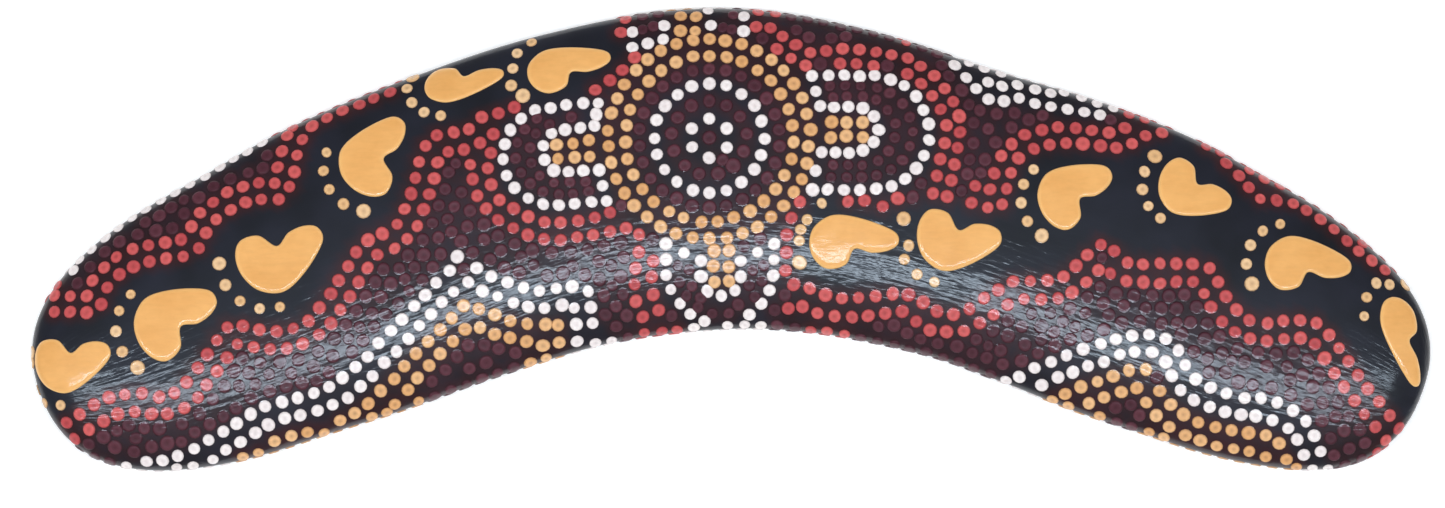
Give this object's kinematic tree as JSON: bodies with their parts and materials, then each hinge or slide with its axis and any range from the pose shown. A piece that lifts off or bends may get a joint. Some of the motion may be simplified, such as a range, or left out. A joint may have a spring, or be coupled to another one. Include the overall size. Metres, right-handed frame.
{
  "type": "boomerang",
  "caption": "Hand-painted two-armed returning boomerang: a crowned plywood blade with a flat underside, a painted coat and raised footprint motifs.",
  "frame": {"origin": "middle of the bounding box in plan, on the flat underside", "axes": "+X from the left tip to the right tip, +Y towards the outer (convex) edge, +Z out of the painted face"},
  "size_m": [0.3505, 0.1166, 0.0129],
  "materials": {
    "face_veneer": "clear-varnished light hardwood veneer, grain along the blade",
    "cross_veneer": "light hardwood veneer, grain across the blade",
    "black_paint": "blue-black acrylic paint under gloss varnish",
    "gold_paint": "orange-gold acrylic paint, raised, under gloss varnish",
    "white_paint": "white acrylic dots under gloss varnish",
    "red_paint": "coral-red acrylic dots under gloss varnish",
    "plum_paint": "dark plum acrylic dots under gloss varnish"
  },
  "bodies": {
    "root": {"bottom_face_ply": "face_veneer", "lower_cross_ply": "cross_veneer", "lower_long_ply": "face_veneer", "core_ply": "cross_veneer", "upper_long_ply": "face_veneer", "upper_cross_ply": "cross_veneer", "top_face_ply": "face_veneer", "ground_coat": "black_paint", "foot_sole_01": "gold_paint", "foot_sole_02": "gold_paint", "foot_sole_03": "gold_paint", "foot_sole_04": "gold_paint", "foot_sole_05": "gold_paint", "foot_sole_06": "gold_paint", "foot_sole_07": "gold_paint", "foot_sole_08": "gold_paint", "foot_sole_09": "gold_paint", "foot_sole_10": "gold_paint", "foot_sole_11": "gold_paint", "foot_sole_12": "gold_paint"}
  },
  "joints": []
}
